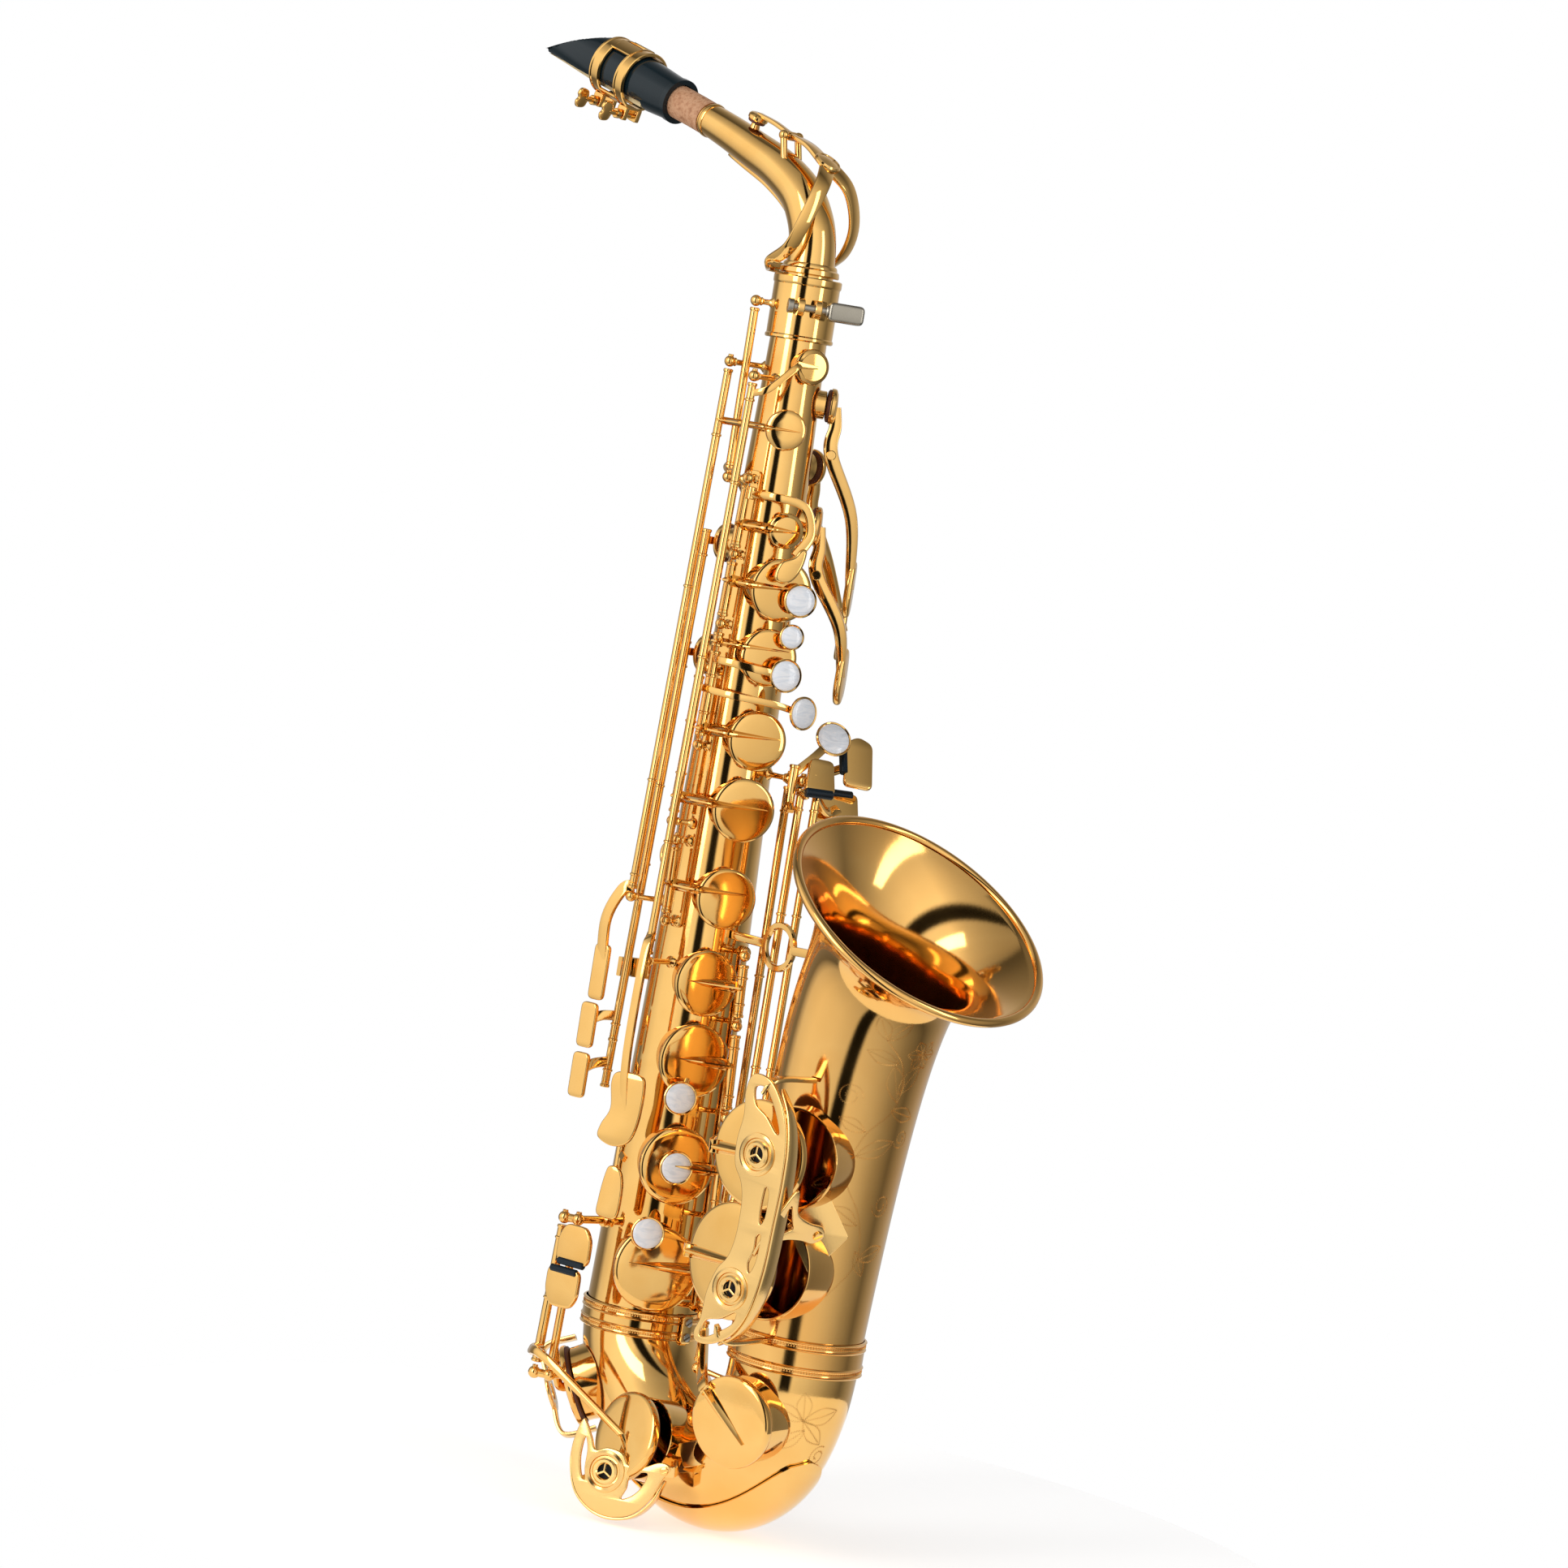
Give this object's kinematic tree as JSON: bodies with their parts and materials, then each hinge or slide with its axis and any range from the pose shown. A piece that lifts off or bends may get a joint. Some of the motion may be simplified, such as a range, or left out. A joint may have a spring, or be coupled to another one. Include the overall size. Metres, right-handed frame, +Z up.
{
  "type": "alto saxophone",
  "caption": "Upright alto saxophone in gold lacquer with working keys, curved neck, mouthpiece with reed and ligature, and flared bell.",
  "frame": {"origin": "centre of the strap ring's hole, at the back of the body tube", "axes": "+Z up along the body tube towards the neck, +X away from the player towards the bell, +Y towards the player's left hand side"},
  "size_m": [0.3802, 0.1254, 0.6683],
  "materials": {
    "lacquered_brass": "gold lacquer, glossy",
    "bell_lacquer": "gold lacquer over engraved brass, satin gloss",
    "pearl": "pearly, polished",
    "ebonite": "polished hard rubber",
    "cane": "bare cane",
    "cork": "waxed cork",
    "nickel": "dull nickel"
  },
  "bodies": {
    "body": {"body_tube": "lacquered_brass", "upper_stack_rib": "lacquered_brass", "lower_stack_rib": "lacquered_brass", "bell": "bell_lacquer", "body_bow": "lacquered_brass", "body_bow_ferrule": "lacquered_brass", "bell_bow_ferrule": "lacquered_brass", "bell_key_guard": "lacquered_brass", "low_c_guard": "lacquered_brass", "low_e_flat_guard": "lacquered_brass", "bell_brace": "lacquered_brass", "bow_guard_plate": "lacquered_brass", "thumb_hook": "lacquered_brass", "thumb_rest": "ebonite", "strap_ring": "lacquered_brass", "neck_receiver": "lacquered_brass", "neck_tube": "lacquered_brass", "neck_cork": "cork", "mouthpiece": "ebonite", "reed": "cane", "ligature": "lacquered_brass"},
    "small_c_key": {"small_c_key": "lacquered_brass"},
    "b_key": {"b_key": "lacquered_brass", "b_pearl": "pearl"},
    "bis_key": {"bis_key": "lacquered_brass", "bis_pearl": "pearl"},
    "a_key": {"a_key": "lacquered_brass", "a_pearl": "pearl"},
    "g_key": {"g_key": "lacquered_brass", "g_pearl": "pearl"},
    "g_sharp_key": {"g_sharp_key": "lacquered_brass"},
    "f_sharp_key": {"f_sharp_key": "lacquered_brass"},
    "f_key": {"f_key": "lacquered_brass", "f_pearl": "pearl"},
    "e_key": {"e_key": "lacquered_brass", "e_pearl": "pearl"},
    "d_key": {"d_key": "lacquered_brass", "d_pearl": "pearl"},
    "high_e_key": {"high_e_key": "lacquered_brass"},
    "high_f_sharp_key": {"high_f_sharp_key": "lacquered_brass"},
    "side_c_key": {"side_c_key": "lacquered_brass"},
    "side_b_flat_key": {"side_b_flat_key": "lacquered_brass"},
    "f_sharp_trill_key": {"f_sharp_trill_key": "lacquered_brass"},
    "palm_f_key": {"palm_f_key": "lacquered_brass"},
    "palm_e_flat_key": {"palm_e_flat_key": "lacquered_brass"},
    "palm_d_key": {"palm_d_key": "lacquered_brass"},
    "front_f_lever": {"front_f_lever": "lacquered_brass"},
    "g_sharp_lever": {"g_sharp_lever": "lacquered_brass", "g_sharp_pearl": "pearl"},
    "low_c_sharp_lever": {"low_c_sharp_lever": "lacquered_brass"},
    "low_b_key": {"low_b_key": "lacquered_brass"},
    "low_b_flat_key": {"low_b_flat_key": "lacquered_brass"},
    "low_c_sharp_key": {"low_c_sharp_key": "lacquered_brass"},
    "low_c_key": {"low_c_key": "lacquered_brass"},
    "low_e_flat_key": {"low_e_flat_key": "lacquered_brass"},
    "neck_screw": {"neck_screw": "nickel"},
    "neck_octave_key": {"neck_octave_key": "lacquered_brass"},
    "ligature_screw_1": {"ligature_screw_1": "lacquered_brass"},
    "ligature_screw_2": {"ligature_screw_2": "lacquered_brass"},
    "octave_lever": {"octave_lever": "lacquered_brass"}
  },
  "joints": [
    {"name": "small_c_hinge", "type": "hinge", "parent": "body", "child": "small_c_key", "pos_m": [0.03876, -0.02249, 0.16061], "axis": [0.0025, 0.0341, 0.9994], "range_deg": [0, 6.76], "stiffness_Nm_per_rad": 0.03, "springref_deg": -28.65},
    {"name": "b_hinge", "type": "hinge", "parent": "body", "child": "b_key", "pos_m": [0.03869, -0.02354, 0.12996], "axis": [0.0025, 0.0341, 0.9994], "range_deg": [0, 8.19], "stiffness_Nm_per_rad": 0.03, "springref_deg": -28.65},
    {"name": "bis_hinge", "type": "hinge", "parent": "body", "child": "bis_key", "pos_m": [0.03861, -0.02451, 0.10129], "axis": [0.0025, 0.0341, 0.9994], "range_deg": [0, 8.03], "stiffness_Nm_per_rad": 0.03, "springref_deg": -28.65},
    {"name": "a_hinge", "type": "hinge", "parent": "body", "child": "a_key", "pos_m": [0.03855, -0.02544, 0.07414], "axis": [0.0025, 0.0341, 0.9994], "range_deg": [0, 7.52], "stiffness_Nm_per_rad": 0.03, "springref_deg": -28.65},
    {"name": "g_hinge", "type": "hinge", "parent": "body", "child": "g_key", "pos_m": [0.03303, -0.02841, 0.05108], "axis": [0.0047, 0.0328, 0.9995], "range_deg": [0, 6.39], "stiffness_Nm_per_rad": 0.03, "springref_deg": -28.65},
    {"name": "g_sharp_hinge", "type": "hinge", "parent": "body", "child": "g_sharp_key", "pos_m": [0.03887, -0.02966, -0.00933], "axis": [0.0448, -0.0207, -0.9988], "range_deg": [0, 7.2], "stiffness_Nm_per_rad": 0.03, "springref_deg": -28.65},
    {"name": "f_sharp_hinge", "type": "hinge", "parent": "body", "child": "f_sharp_key", "pos_m": [0.06876, -0.0036, -0.0504], "axis": [0.0582, 0.006, -0.9983], "range_deg": [0, 11.69], "stiffness_Nm_per_rad": 0.03, "springref_deg": -28.65},
    {"name": "f_hinge", "type": "hinge", "parent": "body", "child": "f_key", "pos_m": [0.07104, -0.00337, -0.08947], "axis": [0.0582, 0.006, -0.9983], "range_deg": [0, 10.81], "stiffness_Nm_per_rad": 0.03, "springref_deg": -28.65},
    {"name": "e_hinge", "type": "hinge", "parent": "body", "child": "e_key", "pos_m": [0.0736, -0.0031, -0.13338], "axis": [0.0582, 0.006, -0.9983], "range_deg": [0, 9.47], "stiffness_Nm_per_rad": 0.03, "springref_deg": -28.65},
    {"name": "d_hinge", "type": "hinge", "parent": "body", "child": "d_key", "pos_m": [0.07631, -0.00282, -0.17993], "axis": [0.0582, 0.006, -0.9983], "range_deg": [0, 7.67], "stiffness_Nm_per_rad": 0.03, "springref_deg": -28.65},
    {"name": "high_e_hinge", "type": "hinge", "parent": "body", "child": "high_e_key", "pos_m": [0.01605, -0.02944, 0.07861], "axis": [-0.0127, -0.0225, -0.9997], "range_deg": [0, 5.48], "stiffness_Nm_per_rad": 0.03, "springref_deg": -28.65},
    {"name": "high_f_sharp_hinge", "type": "hinge", "parent": "body", "child": "high_f_sharp_key", "pos_m": [0.04098, -0.03485, 0.0565], "axis": [0.0011, -0.0313, -0.9995], "range_deg": [0, 5.1], "stiffness_Nm_per_rad": 0.03, "springref_deg": -28.65},
    {"name": "side_c_hinge", "type": "hinge", "parent": "body", "child": "side_c_key", "pos_m": [0.01198, -0.02268, 0.03237], "axis": [0.0033, 0.03, 0.9995], "range_deg": [0, 10.68], "stiffness_Nm_per_rad": 0.03, "springref_deg": -28.65},
    {"name": "side_b_flat_hinge", "type": "hinge", "parent": "body", "child": "side_b_flat_key", "pos_m": [0.00786, -0.02031, -0.00522], "axis": [0.0033, 0.03, 0.9995], "range_deg": [0, 12.03], "stiffness_Nm_per_rad": 0.03, "springref_deg": -28.65},
    {"name": "f_sharp_trill_hinge", "type": "hinge", "parent": "body", "child": "f_sharp_trill_key", "pos_m": [0.04211, -0.03672, -0.14586], "axis": [-0.0214, 0.0214, 0.9995], "range_deg": [0, 4.8], "stiffness_Nm_per_rad": 0.03, "springref_deg": -28.65},
    {"name": "palm_f_hinge", "type": "hinge", "parent": "body", "child": "palm_f_key", "pos_m": [0.04291, 0.02121, 0.194], "axis": [-0.766, 0.6428, 0], "range_deg": [0, 6.5], "stiffness_Nm_per_rad": 0.03, "springref_deg": -28.65},
    {"name": "palm_e_flat_hinge", "type": "hinge", "parent": "body", "child": "palm_e_flat_key", "pos_m": [0.03427, 0.02384, 0.166], "axis": [-1, 0, 0], "range_deg": [0, 6.81], "stiffness_Nm_per_rad": 0.03, "springref_deg": -28.65},
    {"name": "palm_d_hinge", "type": "hinge", "parent": "body", "child": "palm_d_key", "pos_m": [0.04612, 0.02171, 0.139], "axis": [-0.7193, 0.6947, 0], "range_deg": [0, 6.5], "stiffness_Nm_per_rad": 0.03, "springref_deg": -28.65},
    {"name": "front_f_lever_hinge", "type": "hinge", "parent": "body", "child": "front_f_lever", "pos_m": [0.04365, -0.02342, 0.1547], "axis": [-0.0415, 0.0665, 0.9969], "range_deg": [0, 2.88], "stiffness_Nm_per_rad": 0.03, "springref_deg": -28.65},
    {"name": "g_sharp_lever_hinge", "type": "hinge", "parent": "body", "child": "g_sharp_lever", "pos_m": [0.06591, 0.00974, 0.0517], "axis": [-0.0231, 0.0115, 0.9997], "range_deg": [0, 3.84], "stiffness_Nm_per_rad": 0.03, "springref_deg": -28.65},
    {"name": "low_c_sharp_lever_hinge", "type": "hinge", "parent": "body", "child": "low_c_sharp_lever", "pos_m": [0.06488, 0.00966, -0.06461], "axis": [-0.0357, 0.021, 0.9991], "range_deg": [0, 3.84], "stiffness_Nm_per_rad": 0.03, "springref_deg": -28.65},
    {"name": "low_b_hinge", "type": "hinge", "parent": "body", "child": "low_b_key", "pos_m": [0.07546, 0.00717, -0.05188], "axis": [-0.086, 0.0787, 0.9932], "range_deg": [0, 7.56], "stiffness_Nm_per_rad": 0.03, "springref_deg": -28.65},
    {"name": "low_b_flat_hinge", "type": "hinge", "parent": "body", "child": "low_b_flat_key", "pos_m": [0.08275, 0.00991, -0.07734], "axis": [-0.1063, 0.1002, 0.9893], "range_deg": [0, 9.16], "stiffness_Nm_per_rad": 0.03, "springref_deg": -28.65},
    {"name": "low_c_sharp_hinge", "type": "hinge", "parent": "body", "child": "low_c_sharp_key", "pos_m": [0.09639, -0.017, -0.22597], "axis": [0, 0, -1], "range_deg": [0, 4.97], "stiffness_Nm_per_rad": 0.03, "springref_deg": -28.65},
    {"name": "low_c_hinge", "type": "hinge", "parent": "body", "child": "low_c_key", "pos_m": [0.02182, -0.04879, -0.22224], "axis": [0.0187, 0.0312, 0.9993], "range_deg": [0, 5.25], "stiffness_Nm_per_rad": 0.03, "springref_deg": -28.65},
    {"name": "low_e_flat_hinge", "type": "hinge", "parent": "body", "child": "low_e_flat_key", "pos_m": [0.02725, -0.04429, -0.21648], "axis": [0.0125, 0.025, 0.9996], "range_deg": [0, 8.67], "stiffness_Nm_per_rad": 0.03, "springref_deg": -28.65},
    {"name": "neck_screw_turn", "type": "hinge", "parent": "body", "child": "neck_screw", "pos_m": [0.05104, -0.00526, 0.258], "axis": [0.5299, 0.848, 0], "continuous": true},
    {"name": "neck_octave_hinge", "type": "hinge", "parent": "body", "child": "neck_octave_key", "pos_m": [0.00753, -0.00261, 0.335], "axis": [-0.1045, 0.9945, 0], "range_deg": [0, 4.8], "stiffness_Nm_per_rad": 0.03, "springref_deg": -28.65},
    {"name": "ligature_screw_1_turn", "type": "hinge", "parent": "body", "child": "ligature_screw_1", "pos_m": [-0.09974, -0.01967, 0.33643], "axis": [-0.1045, 0.9945, 0], "continuous": true},
    {"name": "ligature_screw_2_turn", "type": "hinge", "parent": "body", "child": "ligature_screw_2", "pos_m": [-0.11696, -0.02148, 0.34133], "axis": [-0.1045, 0.9945, 0], "continuous": true},
    {"name": "octave_lever_hinge", "type": "hinge", "parent": "body", "child": "octave_lever", "pos_m": [0.02339, -0.021, 0.1999], "axis": [0, 0, -1], "range_deg": [0, 4.8], "stiffness_Nm_per_rad": 0.03, "springref_deg": -28.65}
  ],
  "couplings": [
    {"joint": "small_c_hinge", "follows": "b_hinge", "ratio": 0.8258},
    {"joint": "f_sharp_hinge", "follows": "f_hinge", "ratio": 1.081},
    {"joint": "g_sharp_hinge", "follows": "g_sharp_lever_hinge", "ratio": 1.876},
    {"joint": "low_c_sharp_hinge", "follows": "low_c_sharp_lever_hinge", "ratio": 1.2955},
    {"joint": "neck_octave_hinge", "follows": "octave_lever_hinge", "ratio": 1}
  ]
}
